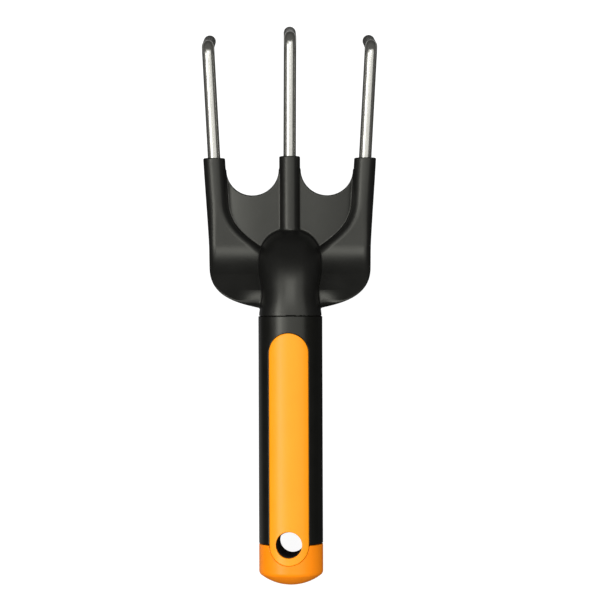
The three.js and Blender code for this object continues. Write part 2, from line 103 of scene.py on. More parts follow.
def add_piece(name, points, quads, stands_for, caps=None, normals=None):
    """Makes the mesh object from straight-frame points, four-cornered faces and end caps."""
    caps = np.empty((0, 3), int) if caps is None else caps
    if signed_volume(points, quads) + signed_volume(points, caps) < 0:
        quads, caps = quads[:, ::-1], caps[:, ::-1]
    mesh = bpy.data.meshes.new(name)
    mesh.from_pydata(stood(points).tolist(), [], quads.tolist() + caps.tolist())
    mesh.shade_smooth()
    if normals is not None:
        mesh.normals_split_custom_set_from_vertices((normals @ STAND.T).tolist())
    piece = bpy.data.objects.new(name, mesh)
    bpy.context.scene.collection.objects.link(piece)
    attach(piece, "root")
    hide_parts(stands_for)
    print(name, "has", 2 * len(quads) + len(caps), "triangles")
    return piece


# %% [markdown]
# ## The tines: a profile carried along a path
# On the real tool each tine is one length of round bright steel. Its buried end is squashed
# flat to grip the moulding, it runs straight out of its socket, bends down over a tight
# former, and ends in a tip that is flattened a little. A bevelled curve would give an even tube,
# but not the squashed end and the tip, so an oval profile is carried along the path by
# arithmetic: every station has a middle, an up direction, a half width and a half height.
# The side rods splay outwards by SPLAY. Not every rod sits true in its socket: the left and the
# middle one lean about a third of a degree to the right, as in the photograph.

# %% The rods' sizes
HEAD_REACH = 80.0
SOCKET_ACROSS = 38.3
SPLAY = radians(3.25)
ASTRAY = {-1: radians(0.3), 0: radians(0.38), 1: 0.0}
ROD = 3.175
BEND = 4.6
LEG_LEAN = radians(10)
TINE_REACH = 144.72
SIDE_SETBACK = 4.4
TINE_DEPTH = 49.0
BURY = 44.0
MIDDLE_LEAD = 0.9
ANCHOR_LENGTH, ANCHOR_WIDE, ANCHOR_HIGH = 9.0, 3.9, 2.2
TIP_LENGTH, TIP_HIGH, TIP_NARROWING, TIP_PARTS = 5.0, 1.1, 0.35, 5


def eased(share):
    """Goes from 0 to 1 as share does, level at both ends: 3 s^2 - 2 s^3."""
    share = np.clip(share, 0, 1)
    return share * share * (3 - 2 * share)


def between(first, last, share):
    """first where share is 0, last where it is 1: a + (b - a) s."""
    return first + (last - first) * share


def anchor_sizes(past_start):
    """Half width and half height of a rod's buried end: flat at first, then eased to round."""
    share = eased(2 * past_start / ANCHOR_LENGTH - 1)
    return between(ANCHOR_WIDE, ROD, share), between(ANCHOR_HIGH, ROD, share)


# %% Stations along a rod
ANCHOR_ROWS, STRAIGHT_ROWS, BEND_ROWS, LEG_ROWS = 13, 24, 33, 16
STRAIGHT_FROM = 14.0
TIP_ROWS, CLOSING_ROWS = 8, 9
FIRST_SHARE = 0.08
CLOSING_ANGLES = (0.15, 1.56)


def tip_shares():
    """Places along the tip, packed closer together where the quarter circle closes it."""
    closing = 1 / TIP_PARTS
    to_closing = np.linspace(FIRST_SHARE, 1 - closing, TIP_ROWS)
    closed = (1 - closing) + closing * np.sin(np.linspace(*CLOSING_ANGLES, CLOSING_ROWS))
    return np.concatenate([to_closing, closed])


def rod_stations(reach, buried):
    """Rows of y, z, tilt, half width, half height along the rod's middle line.

    The line is straight, then an arc of radius BEND through 90 degrees less the lean, then a
    straight leg. Towards the tip both half sizes shrink, the height more, and in the last
    fifth they follow a quarter circle down to nothing."""
    turn = pi / 2 - LEG_LEAN
    start = HEAD_REACH - buried
    knee = reach - (BEND + ROD) * cos(LEG_LEAN) ** 2
    leg = (TINE_DEPTH - BEND * (1 - sin(LEG_LEAN))) / cos(LEG_LEAN)

    anchored = start + np.linspace(0, ANCHOR_LENGTH, ANCHOR_ROWS)
    y = np.concatenate([anchored, np.linspace(start + STRAIGHT_FROM, knee, STRAIGHT_ROWS)])
    wide, high = anchor_sizes(y - start)
    straight = np.stack([y, 0 * y, 0 * y, wide, high], 1)

    angle = np.linspace(0, turn, BEND_ROWS)[1:]
    arc_y, arc_z = knee + BEND * np.sin(angle), BEND * (np.cos(angle) - 1)
    full = np.full_like(angle, ROD)
    arc = np.stack([arc_y, arc_z, angle, full, full], 1)

    to_tip = np.linspace(0, leg - TIP_LENGTH, LEG_ROWS)[1:]
    along = np.concatenate([to_tip, leg - TIP_LENGTH * (1 - tip_shares())])
    share = np.clip((along - leg) / TIP_LENGTH + 1, 0, 1)
    closed = np.sqrt(1 - np.clip(TIP_PARTS * share - (TIP_PARTS - 1), 0, 1) ** 2)
    wide = ROD * (1 - TIP_NARROWING * share**2) * closed
    high = between(ROD, TIP_HIGH, eased(share)) * closed
    leg_y, leg_z = arc_y[-1] + along * cos(turn), arc_z[-1] - along * sin(turn)
    down = np.stack([leg_y, leg_z, 0 * along + turn, wide, high], 1)
    return np.concatenate([straight, arc, down])


# %% Carry the profile and skin it
ROD_SIDES = 48
ROD_ANGLES = np.linspace(0, 2 * pi, ROD_SIDES, endpoint=False)


def carried(stations):
    """Points middle + across w cos(a) + up h sin(a) for each station and angle a, and two ends."""
    y, z, tilt, wide, high = stations.T[:, :, None]
    across, over = wide * np.cos(ROD_ANGLES), high * np.sin(ROD_ANGLES)
    rings = np.stack([across, y + over * np.sin(tilt), z + over * np.cos(tilt)], -1)
    ends = rings[[0, -1]].mean(1)
    return np.concatenate([rings.reshape(-1, 3), ends])


def tube_faces(rows, sides):
    """Faces between neighbouring rings, and a fan of three-cornered faces over each end."""
    i, j = np.meshgrid(np.arange(rows - 1), np.arange(sides), indexing="ij")
    here, beside = i * sides + j, i * sides + (j + 1) % sides
    quads = np.stack([here, beside, beside + sides, here + sides], -1).reshape(-1, 4)
    j = np.arange(sides)
    last = (rows - 1) * sides
    first_fan = np.stack([(j + 1) % sides, j, 0 * j + rows * sides], 1)
    last_fan = np.stack([last + j, last + (j + 1) % sides, 0 * j + rows * sides + 1], 1)
    return quads, np.concatenate([first_fan, last_fan])


# %% The three tines
def splayed(points, side):
    """Turns a rod by t about its socket's mouth and moves it there.

    x goes to x cos t + y sin t, and y to y cos t - x sin t."""
    swing = side * SPLAY + ASTRAY[side]
    x, y, z = (points - [0, HEAD_REACH, 0]).T
    return np.stack([
        x * cos(swing) + y * sin(swing) + side * SOCKET_ACROSS,
        y * cos(swing) - x * sin(swing) + HEAD_REACH,
        z - ROD_DROP,
    ], 1)


def drawing_places(stations):
    """cos(a), sin(a) and the length run along the rod, for the points that carried() makes."""
    run = np.concatenate([[0], np.cumsum(np.hypot(*np.diff(stations[:, :2], axis=0).T))])
    around = [np.tile(wave(ROD_ANGLES), len(run)) for wave in (np.cos, np.sin)]
    rings = np.stack([*around, np.repeat(run, ROD_SIDES)], 1)
    return np.concatenate([rings, [[0, 0, run[0]], [0, 0, run[-1]]]])


def tine(name, side):
    """Makes a rod: -1 is the left side, 0 the middle and 1 the right."""
    reach = TINE_REACH - SIDE_SETBACK * abs(side)
    stations = rod_stations(reach, BURY - MIDDLE_LEAD * (1 - abs(side)))
    points = splayed(carried(stations), side)
    quads, caps = tube_faces(len(stations), ROD_SIDES)
    piece = add_piece(name + "_rod", points, quads, name, caps)
    layer = piece.data.attributes.new("drawn", "FLOAT_VECTOR", "POINT")
    layer.data.foreach_set("vector", drawing_places(stations).ravel().astype(np.float32))
    return piece


TINES = {"tine_left": -1, "tine_middle": 0, "tine_right": 1}
rods = [tine(name, side) for name, side in TINES.items()]

# %% [markdown]
# ## Mouldings: a field and its skin
# The head is one smooth moulding in which round arms, a flat web, a ball-shaped elbow and a
# ramp all run into each other with fillets. A single two-parameter grid can't cover a shape
# with branches and holes, and joined grids would need boolean cuts, which leave no fillets. So
# the head, the sleeve and the cap are each described by a field: a function that gives, for
# any point, about how far it lies outside the surface, and is negative inside. Fields are easy
# to join and cut: the smaller of two is their union, the larger their overlap, and a circle
# arc between the two makes the fillet or the rounded edge.

# %% Joining and cutting fields
GRADIENT_GAP = 0.02
LEAST_SLOPE = 0.05


def joined(a, b, fillet):
    """Union with a fillet: max(r, min(a, b)) - hypot(max(r - a, 0), max(r - b, 0))."""
    inner = np.hypot(np.maximum(fillet - a, 0), np.maximum(fillet - b, 0))
    return np.maximum(fillet, np.minimum(a, b)) - inner


def kept(a, b, edge):
    """Overlap with a rounded edge: min(-r, max(a, b)) + hypot(max(r + a, 0), max(r + b, 0))."""
    outer = np.hypot(np.maximum(edge + a, 0), np.maximum(edge + b, 0))
    return np.minimum(-edge, np.maximum(a, b)) + outer


def cut(a, b, edge):
    """What is left of a when b is taken out of it, with the cut's edge rounded."""
    return kept(a, -b, edge)


def gradient(field, points):
    """Central differences of the field: (f(p + g) - f(p - g)) / 2g along x, y and z."""
    steps = GRADIENT_GAP * np.eye(3)
    rises = [field(*(points + step).T) - field(*(points - step).T) for step in steps]
    return np.stack([rise / (2 * GRADIENT_GAP) for rise in rises], 1)


def slid(field, points):
    """One step down the slope to the surface: p - f g / |g|^2, with g the gradient."""
    g = gradient(field, points)
    squared = np.maximum((g * g).sum(1), LEAST_SLOPE)
    return points - (field(*points.T) / squared)[:, None] * g


# %% The skin of a field
EVENING_ROUNDS = 3


def crossings(value, axis):
    """Grid edges along an axis whose ends lie on two sides: their start, place and direction."""
    behind = np.take(value, np.arange(value.shape[axis] - 1), axis)
    ahead = np.take(value, np.arange(1, value.shape[axis]), axis)
    at = np.argwhere((behind < 0) != (ahead < 0))
    start, stop = behind[tuple(at.T)], ahead[tuple(at.T)]
    place = at.astype(float)
    place[:, axis] += start / (start - stop)
    return at, place, start < 0


def mean_of(values, owner, count):
    """Mean of the rows of values that share an owner."""
    number = np.bincount(owner, minlength=count)
    return np.stack([np.bincount(owner, column, count) / number for column in values.T], 1)


def skin(field, low, high, step):
    """Points and faces of the surface where the field is zero.

    A box of grid points, step apart, samples the field. Each grid edge that passes through the
    surface is crossed in linear proportion; each grid cell with crossings gets one point, at
    their mean; and the four cells round a crossed edge share one face. Then each point is
    moved to the mean of its faces' middles and slid back to the surface, EVENING_ROUNDS times."""
    lines = [np.arange(a, b + step, step) for a, b in zip(low, high)]
    value = field(*np.meshgrid(*lines, indexing="ij", sparse=True))
    corners, places, owners = [], [], []
    for axis in range(3):
        at, place, leaving = crossings(value, axis)
        b, c = np.eye(3, dtype=int)[[(axis + 1) % 3, (axis + 2) % 3]]
        cells = [(at - shift).T for shift in (0 * b, b, b + c, c)]
        ring = np.stack([np.ravel_multi_index(cell, value.shape) for cell in cells], 1)
        corners.append(np.where(leaving[:, None], ring, ring[:, ::-1]))
        owners.append(ring.ravel())
        places.append(np.repeat(place, 4, axis=0))
    used, owner = np.unique(np.concatenate(owners), return_inverse=True)
    quads = np.searchsorted(used, np.concatenate(corners))
    points = np.asarray(low) + step * mean_of(np.concatenate(places), owner, len(used))
    for _ in range(EVENING_ROUNDS):
        middles = np.repeat(points[quads].mean(1), 4, axis=0)
        points = slid(field, mean_of(middles, quads.ravel(), len(points)))
    points = slid(field, points)
    normals = gradient(field, points)
    return points, quads, normals / np.linalg.norm(normals, axis=1)[:, None]


def skinned(name, field, box, step, stands_for, turn=np.eye(3)):
    """Skins a field inside a box and makes the piece, with its points and normals turned."""
    points, quads, normals = skin(field, *box, step)
    return add_piece(name, points @ turn.T, quads, stands_for, normals=normals @ turn.T)


# %% [markdown]
# ## The head's plan
# Seen from above, the two arms and the shoulder between them are one wishbone. Its rails are
# nearly straight beside the sockets and run in smooth curves to the middle. The plan is drawn
# for the right half, and points on the left are folded over to it. The field in plan is the
# distance to the nearest straight step of the outline, with the sign from counting how many
# steps lie to the right of the point: an odd number means that it is inside.

# %% The plan's sizes and its curves
SOCKET = 5.56
BEND_AT, CORNER_AT, PAST_MOUTH = 58.0, 23.9, 95.0
REAR_MIDDLE, REAR_CORNER = (0.0, 0.25), (19.9, 5.05)
ROOT_CORNER, ROOT_MIDDLE = (14.6, 34.8), (0.0, 32.5)
REAR_PULL, CORNER_PULL, BEND_PULL, ROOT_PULL, ROOT_RISE = 0.5, 0.64, 0.52, 0.5, 0.25
RAIL_HOLLOW, HOLLOW_REAR, HOLLOW_FRONT, RAIL_GAP = 0.35, 14.0, 42.0, 2.0
CURVE_POINTS = 24


def arm_across(y):
    """How far an arm's middle line lies from the tool's, at a place y."""
    return SOCKET_ACROSS - (HEAD_REACH - y) * tan(SPLAY)


def cubic(a, b, c, d):
    """Points (1-t)^3 a + 3 t (1-t)^2 b + 3 t^2 (1-t) c + t^3 d."""
    t = np.linspace(0, 1, CURVE_POINTS)[:, None]
    a, b, c, d = map(np.asarray, (a, b, c, d))
    return (1 - t) ** 3 * a + 3 * t * (1 - t) ** 2 * b + 3 * t**2 * (1 - t) * c + t**3 * d


def outer_turn():
    """A cubic that leaves along the straight rear edge and arrives along the outer rail."""
    x, y = REAR_CORNER
    rail_x = arm_across(CORNER_AT) + SOCKET
    sweep, climb = rail_x - x, CORNER_AT - y
    rear_slope = (y - REAR_MIDDLE[1]) / x
    return cubic(
        REAR_CORNER,
        (x + REAR_PULL * sweep, y + REAR_PULL * sweep * rear_slope),
        (rail_x - CORNER_PULL * climb * tan(SPLAY), CORNER_AT - CORNER_PULL * climb),
        (rail_x, CORNER_AT),
    )


def outer_rail():
    """The arm's outer side, hollowed a little between the shoulder and the socket's mouth."""
    y = np.linspace(CORNER_AT + RAIL_GAP, HEAD_REACH - RAIL_GAP, CURVE_POINTS)
    from_rear, from_front = (y - CORNER_AT) / HOLLOW_REAR, (HEAD_REACH - y) / HOLLOW_FRONT
    hollow = RAIL_HOLLOW * eased(from_rear) * eased(from_front)
    return np.column_stack([arm_across(y) + SOCKET - hollow, y])


def inner_turn():
    """A cubic that leaves along the arm's inner side and ends at the shoulder's front edge."""
    x, y = ROOT_CORNER
    rail_x = arm_across(BEND_AT) - SOCKET
    run, breadth = BEND_AT - y, rail_x - x
    return cubic(
        (rail_x, BEND_AT),
        (rail_x - BEND_PULL * run * tan(SPLAY), BEND_AT - BEND_PULL * run),
        (x + ROOT_PULL * breadth, y + ROOT_RISE * run),
        ROOT_CORNER,
    )


# %% Outline of the right half
mouth = [(arm_across(PAST_MOUTH) + side, PAST_MOUTH) for side in (SOCKET, -SOCKET)]
OUTLINE = np.concatenate([
    [REAR_MIDDLE], outer_turn(), outer_rail(), mouth, inner_turn(), [ROOT_MIDDLE]
])
print("outline of", len(OUTLINE), "points, widest", OUTLINE[:, 0].max().round(2), "mm")


def plan_distance(x, y):
    """Distance in plan from the wishbone's outline, negative inside it."""
    x, y = np.broadcast_arrays(np.abs(x), y)
    x, y = x[..., None], y[..., None]
    (ax, ay), (dx, dy) = OUTLINE[:-1].T, np.diff(OUTLINE, axis=0).T
    share = np.clip(((x - ax) * dx + (y - ay) * dy) / (dx * dx + dy * dy), 0, 1)
    away = np.sqrt(((x - ax - share * dx) ** 2 + (y - ay - share * dy) ** 2).min(-1))
    spans = (ay > y) != (ay + dy > y)
    beyond = x < ax + dx * (y - ay) / np.where(dy == 0, 1, dy)
    return np.where((spans & beyond).sum(-1) % 2 == 1, -away, away)


# %% [markdown]
# ## The head's forms
# The arms are round bars that flatten into the shoulder, and the shoulder climbs a ramp to
# meet the neck. A flat web with two round bays ties the arms to the middle socket. The neck
# is a waisted bar that turns down through a ball and stands on the web. The shoulder's rear
# edge is sharp, and softer beside the neck, where the ramp ends in a crest.

# %% Arms and shoulder
RAMP_SLOPE, RAMP_FRONT, FRONT_ROUND = radians(32), 36.4, 15.2
CREST_AT, CREST_ROUND, CREST_ACROSS = 13.0, 6.8, 29.0
SHOULDER_HALF, SHOULDER_EDGE = 5.0, 4.0
REAR_EDGE, CREST_EDGE, REAR_EDGE_TO, SIDE_EDGE_FROM = 0.8, 4.0, 14.0, 30.0
NECK = 15.65
MOUTH_RIM = 0.5
SLOPE_GAP = 0.1


def eased_run(past, stretch):
    """Starts level and bends, over its first stretch, into a climb of one in one."""
    bent = np.clip(past, 0, stretch)
    return bent**2 / (2 * stretch) + np.maximum(past - stretch, 0)


def crest_share(x):
    """1 beside the neck, eased to 0 at CREST_ACROSS."""
    return 1 - eased((np.abs(x) - NECK) / (CREST_ACROSS - NECK))


def ramp(x, y):
    """Height of the shoulder's middle surface: a ramp that ends in a crest beside the neck."""
    levelled = crest_share(x) * eased_run(CREST_AT - y, CREST_ROUND)
    return tan(RAMP_SLOPE) * (eased_run(RAMP_FRONT - y, FRONT_ROUND) - levelled)


def steepness(x, y):
    """Length of the ramp's surface over its plan: sqrt(1 + (dz/dx)^2 + (dz/dy)^2)."""
    sideways = ramp(x + SLOPE_GAP, y) - ramp(x - SLOPE_GAP, y)
    lengthways = ramp(x, y + SLOPE_GAP) - ramp(x, y - SLOPE_GAP)
    return np.sqrt(1 + (sideways**2 + lengthways**2) / (2 * SLOPE_GAP) ** 2)


def arms(x, y, z):
    """A plate with rounded edges over the plan: distances in plan and in height make a round
    corner, max(p, q) inside and hypot(p, q) outside, less the edge's radius."""
    flat = eased((BEND_AT - y) / (BEND_AT - ROOT_CORNER[1]))
    half, edge = between(SOCKET, SHOULDER_HALF, flat), between(SOCKET, SHOULDER_EDGE, flat)
    rear = between(REAR_EDGE, CREST_EDGE, crest_share(x))
    edge = between(rear, edge, eased((y - REAR_EDGE_TO) / (SIDE_EDGE_FROM - REAR_EDGE_TO)))
    over = np.abs(z + ROD_DROP - ramp(x, y)) / steepness(x, y) - half + edge
    beside = plan_distance(x, y) + edge
    corner_arc = np.hypot(np.maximum(beside, 0), np.maximum(over, 0))
    plate = np.minimum(np.maximum(beside, over), 0) + corner_arc - edge
    return kept(plate, y - HEAD_REACH, MOUTH_RIM)


# %% Web and middle socket
BAY, BAY_AT, WEB_EDGE, WEB_REAR = 13.3, 74.4, 0.5, 30.0
WEB_FLAT, WEB_CROWN = 12.0, 65.0
MIDDLE_SOCKET = 5.3
BAY_ACROSS = (arm_across(BAY_AT) - SOCKET + MIDDLE_SOCKET) / 2


def web(x, y, z):
    """A sheet between the arms' middle lines, less the two round bays.

    Its middle surface is level out to WEB_FLAT and then follows a circle of radius WEB_CROWN,
    so the distance above it is hypot(past, z - centre) - WEB_CROWN. It stops level with the
    arms' undersides."""
    bay = BAY - np.hypot(np.abs(x) - BAY_ACROSS, y - BAY_AT)
    front, rear = np.maximum(y - BAY_AT, bay), WEB_REAR - y
    plan = np.maximum(np.maximum(np.abs(x) - arm_across(y), rear), front)
    past = np.maximum(np.abs(x) - WEB_FLAT, 0)
    above = np.hypot(past, z + ROD_DROP + WEB_CROWN) - WEB_CROWN
    sheet = np.maximum(np.abs(above) - WEB_HALF, -ROD_DROP - SOCKET - z)
    return kept(plan, sheet, WEB_EDGE)


def middle_socket(x, y, z):
    """A round bar along the rod's line, from inside the shoulder to its rounded mouth."""
    bar = np.hypot(x, z + ROD_DROP) - MIDDLE_SOCKET
    return kept(np.maximum(bar, WEB_REAR - y), y - HEAD_REACH - MIDDLE_LEAD, MOUTH_RIM)


# %% The neck's middle line
ARCH, ARCH_TURN, ELBOW, ELBOW_SLOPE = 72.0, radians(11), 19.5, radians(70)


def beside_line(y, z):
    """Distance along and above the neck's middle line: a gentle arch, an elbow, a straight shin.

    On an arc, the angle that a point faces from the arc's centre, held within the arc's own
    angles, gives the spot on the line next to the point. The arch's centre is straight below
    the seam; the elbow's centre lies on the line from there to the arch's end."""
    arch = np.clip(np.arctan2(y, z + ARCH), 0, ARCH_TURN)
    inner = ARCH - ELBOW
    hub_y, hub_z = inner * sin(ARCH_TURN), inner * cos(ARCH_TURN) - ARCH
    elbow = np.clip(np.arctan2(y - hub_y, z - hub_z), ARCH_TURN, ELBOW_SLOPE)
    in_elbow = elbow > ARCH_TURN
    turn = np.where(in_elbow, elbow, arch)
    spot_y = np.where(in_elbow, hub_y + ELBOW * np.sin(turn), ARCH * np.sin(turn))
    spot_z = np.where(in_elbow, hub_z + ELBOW * np.cos(turn), ARCH * (np.cos(turn) - 1))
    run = np.where(in_elbow, ARCH * ARCH_TURN + ELBOW * (turn - ARCH_TURN), ARCH * turn)
    along = run + (y - spot_y) * np.cos(turn) - (z - spot_z) * np.sin(turn)
    return along, (y - spot_y) * np.sin(turn) + (z - spot_z) * np.cos(turn)


# %% Neck and tang
WAIST, WAIST_AT, ELBOW_WIDE_AT, ELBOW_DEEP = 14.1, 11.0, 24.3, 15.0
SQUARISH = 2.2
FOOT_LIFT, FOOT_EDGE, SEAM_EDGE = 0.5, 1.0, 0.25
TANG_RIB, TANG_ROOT, TANG_TIP, TANG_LENGTH = 1.8, 8.9, 8.2, 91.8
TANG_EDGE, TANG_OVERLAP = 0.7, 2.0


def waved(low, high, share):
    """Goes from low to high as half a cosine wave."""
    return between(low, high, (1 - np.cos(pi * np.clip(share, 0, 1))) / 2)


def neck(x, y, z):
    """A bar round the middle line, waisted in width, cut off level at its foot.

    Its section is |x / w|^n + |h / d|^n = 1, with n a little over 2, so squarer than an oval."""
    along, above = beside_line(y, z)
    wide = waved(NECK, WAIST, along / WAIST_AT)
    wide = waved(wide, NECK, (along - WAIST_AT) / (ELBOW_WIDE_AT - WAIST_AT))
    deep = waved(NECK, ELBOW_DEEP, along / ELBOW_WIDE_AT)
    section = np.abs(x / wide) ** SQUARISH + np.abs(above / deep) ** SQUARISH
    bar = (section ** (1 / SQUARISH) - 1) * deep
    return kept(kept(bar, -y, SEAM_EDGE), FOOT_LIFT - ROD_DROP - WEB_HALF - z, FOOT_EDGE)


def tang(x, y, z):
    """A cross of ribs inside a cone that narrows towards the butt."""
    cone = np.hypot(x, z) - between(TANG_ROOT, TANG_TIP, np.clip(-y / TANG_LENGTH, 0, 1))
    ribs = np.minimum(np.abs(x), np.abs(z)) - TANG_RIB
    return np.maximum(kept(ribs, cone, TANG_EDGE), np.maximum(-TANG_LENGTH - y, y - TANG_OVERLAP))


# %% Bores for the rods
PLAY = 0.3


def bore(across, along, height, buried):
    """An oval channel with the rod's own half sizes plus the play, closed behind the anchor."""
    wide, high = anchor_sizes(along + buried)
    oval = np.hypot(across / (wide + PLAY), height / (high + PLAY)) - 1
    return np.maximum(oval * (high + PLAY), -buried - PLAY - along)


def bores(x, y, z):
    """The side channels, folded over to one and turned by the splay, and the middle channel."""
    dx, dy, height = np.abs(x) - SOCKET_ACROSS, y - HEAD_REACH, z + ROD_DROP
    across, along = dx * cos(SPLAY) - dy * sin(SPLAY), dx * sin(SPLAY) + dy * cos(SPLAY)
    return np.minimum(bore(across, along, height, BURY), bore(x, dy, height, BURY - MIDDLE_LEAD))


# %% Join and skin the head
WEB_FILLET, SOCKET_FILLET, NECK_FILLET, BORE_EDGE = 0.7, 0.6, 0.9, 0.25
HEAD_BOX = (-45.2, -93.2, -21.5), (45.2, 82.4, 17.2)
HEAD_STEP = 0.62


def head(x, y, z):
    """Arms, web, socket, neck and tang joined with fillets, less the three bores."""
    body = joined(arms(x, y, z), web(x, y, z), WEB_FILLET)
    body = joined(body, middle_socket(x, y, z), SOCKET_FILLET)
    body = joined(body, neck(x, y, z), NECK_FILLET)
    body = np.minimum(body, tang(x, y, z))
    return cut(body, bores(x, y, z), BORE_EDGE)


head_moulding = skinned("head_moulding", head, HEAD_BOX, HEAD_STEP, "head")

# %% [markdown]
# ## The soft sleeve
# The sleeve is rubber moulded over the core: a plain round tube, with a long window at the
# front for the orange panel and a notch at the back for the cap's tongue. A tube with two
# boolean cuts would do, but for the window's soft edge, so it is a field as well. Both cuts are
# stadiums in plan, and the distance to a stadium is the distance to its middle line less its
# half width.

# %% Sleeve
HANDLE, INSIDE = 16.0, 13.5
HANDLE_LENGTH = 134.3
PAST_BUTT = 2 * HANDLE_LENGTH
SEAM, SPLIT = 0.02, 113.6
HOLE_AT = 113.2
PANEL_HALF, PANEL_TOP, PANEL_FOOT = 9.8, 18.3, 113.7
CLEAR = 0.3
PANEL_GAP = 0.05
WINDOW_EDGE, SPLIT_EDGE = 0.25, 0.2
SLEEVE_BOX = (-17, -115, -17), (17, 0.8, 17)
SLEEVE_STEP = 0.52


def stadium(x, y, top, foot, half):
    """Distance in plan from a stadium whose middle line runs from y = -top to y = -foot."""
    return np.hypot(x, y + np.clip(-y, top, foot)) - half


def sleeve(x, y, z):
    """A tube with rounded outer edges, less the window at the front and the notch at the back."""
    around = np.hypot(x, z)
    tube = np.maximum(kept(around - HANDLE, y + SEAM, SEAM_EDGE), INSIDE - around)
    tube = kept(tube, CLEAR / 2 - SPLIT - y, SPLIT_EDGE)
    window = np.maximum(stadium(x, y, PANEL_TOP, PANEL_FOOT, PANEL_HALF + PANEL_GAP), -z)
    notch = np.maximum(stadium(x, y, HOLE_AT, PAST_BUTT, PANEL_HALF + PANEL_GAP), z)
    return cut(tube, np.minimum(window, notch), WINDOW_EDGE)


grip_sleeve = skinned(
    "grip_sleeve", sleeve, SLEEVE_BOX, SLEEVE_STEP, "soft_grip", TURN
)

# %% [markdown]
# ## The orange cap
# The cap closes the butt with a shallow dome, takes the panel's foot in a recess, and reaches
# round the hanging hole at the back with a tongue. A lathed profile would give the dome but
# not the tongue, so this is the third field. The dome is a slice of a large ball: a ball of
# radius R whose slice is h high and r wide has R = (r^2 + h^2) / 2h.

# %% Cap
DOME, DOME_EDGE = 5.9, 0.9
DOME_BALL = (HANDLE**2 + DOME**2) / (2 * DOME)
HOLE, HOLE_EDGE = 6.5, 0.5
CORE_END = 126.6
RECESS_EDGE = 0.2
CAP_BOX = (-17, -136, -17), (17, -101.5, 17)
CAP_STEP = 0.4


def cap(x, y, z):
    """A bar cut off by the dome's ball, hollowed for the core, less the recess and the hole."""
    around = np.hypot(x, z)
    dome = np.hypot(around, y + HANDLE_LENGTH - DOME_BALL) - DOME_BALL
    body = kept(around - HANDLE, dome, DOME_EDGE)
    tongue = np.maximum(stadium(x, y, HOLE_AT, PAST_BUTT, PANEL_HALF), z)
    body = kept(body, np.minimum(y + SPLIT + CLEAR / 2, tongue), SPLIT_EDGE)
    body = np.maximum(body, -np.maximum(around - INSIDE, -CORE_END - CLEAR - y))
    recess = np.maximum(stadium(x, y, PANEL_TOP, PANEL_FOOT, PANEL_HALF + PANEL_GAP), -z)
    body = cut(body, recess, RECESS_EDGE)
    return cut(body, np.hypot(x, y + HOLE_AT) - HOLE, HOLE_EDGE)


cap_moulding = skinned("cap_moulding", cap, CAP_BOX, CAP_STEP, "end_cap", TURN)

# %% [markdown]
# ## The orange panel: a closed grid of two parameters
# The panel is a thin crowned plate with the hanging hole near its foot. Because it has one
# hole, it is a ring, and a ring closes on itself both ways: one parameter goes round the
# outline, the other goes round the section, over the top from the hole to the edge and back
# underneath. Its crown is part of a slightly tighter cylinder than the sleeve, lifted so that
# the edges stand a hair proud.

# %% Outline of the panel
CROWN = 15.5
PROUD = 0.2
CROWN_MIDDLE = sqrt(HANDLE**2 - PANEL_HALF**2) + PROUD - sqrt(CROWN**2 - PANEL_HALF**2)
PANEL_EDGE = 0.45
PANEL_COLUMNS, EDGE_ROWS, TOP_ROWS, UNDER_ROWS = 360, 6, 34, 14


def panel_outline():
    """Points and outward directions round a stadium, evenly spaced by length."""
    side, arc = PANEL_FOOT - PANEL_TOP, pi * PANEL_HALF
    s = np.linspace(0, 2 * (side + arc), PANEL_COLUMNS, endpoint=False)
    turn = (np.clip(s, 0, arc) + np.clip(s - arc - side, 0, arc)) / PANEL_HALF
    middle = -PANEL_TOP - np.clip(s - arc, 0, side) + np.clip(s - 2 * arc - side, 0, side)
    out = np.stack([np.cos(turn), np.sin(turn)], 1)
    return np.stack([0 * s, middle], 1) + PANEL_HALF * out, out


# %% Section of the panel
def raised(plan, radius, middle=0, sink=0):
    """Lifts plan points onto a cylinder along y: z = middle + sqrt(r^2 - x^2) - sink."""
    return np.column_stack([plan, middle + np.sqrt(radius**2 - plan[:, 0] ** 2) - sink])


def panel_rows():
    """Rows of the section, each a ring of points round the hole.

    A row at share s lies between the hole's rim and the outline. Near both rims the rows step
    inwards by the edge radius r times 1 - sin(a) and the crown sinks by r (1 - cos(a))."""
    outline, out = panel_outline()
    centre = np.array([0, -HOLE_AT])
    ray = (outline - centre) / np.linalg.norm(outline - centre, axis=1)[:, None]
    rim = centre + HOLE * ray
    near, far = rim + PANEL_EDGE * ray, outline - PANEL_EDGE * out
    a = np.linspace(pi / 2, 0, EDGE_ROWS)
    inset, sink = PANEL_EDGE * (1 - np.sin(a)), PANEL_EDGE * (1 - np.cos(a))
    top = [(rim + i * ray, s) for i, s in zip(inset, sink)]
    top += [(between(near, far, share), 0) for share in np.linspace(0, 1, TOP_ROWS)[1:-1]]
    top += [(outline - i * out, s) for i, s in zip(inset[::-1], sink[::-1])]
    under = [between(outline, rim, share) for share in np.linspace(0, 1, UNDER_ROWS)]
    crown = [raised(plan, CROWN, CROWN_MIDDLE, s) for plan, s in top]
    return np.array(crown + [raised(plan, INSIDE) for plan in under])


# %% Close the panel's grid
def closed_grid_faces(rows, columns):
    """Faces of a grid that closes on itself both ways."""
    i, j = np.meshgrid(np.arange(rows), np.arange(columns), indexing="ij")
    i2, j2 = (i + 1) % rows, (j + 1) % columns
    corners = [i * columns + j, i * columns + j2, i2 * columns + j2, i2 * columns + j]
    return np.stack(corners, -1).reshape(-1, 4)


rows = panel_rows()
panel_faces = closed_grid_faces(*rows.shape[:2])
panel_plate = add_piece(
    "panel_plate", rows.reshape(-1, 3) @ TURN.T, panel_faces, "front_panel"
)

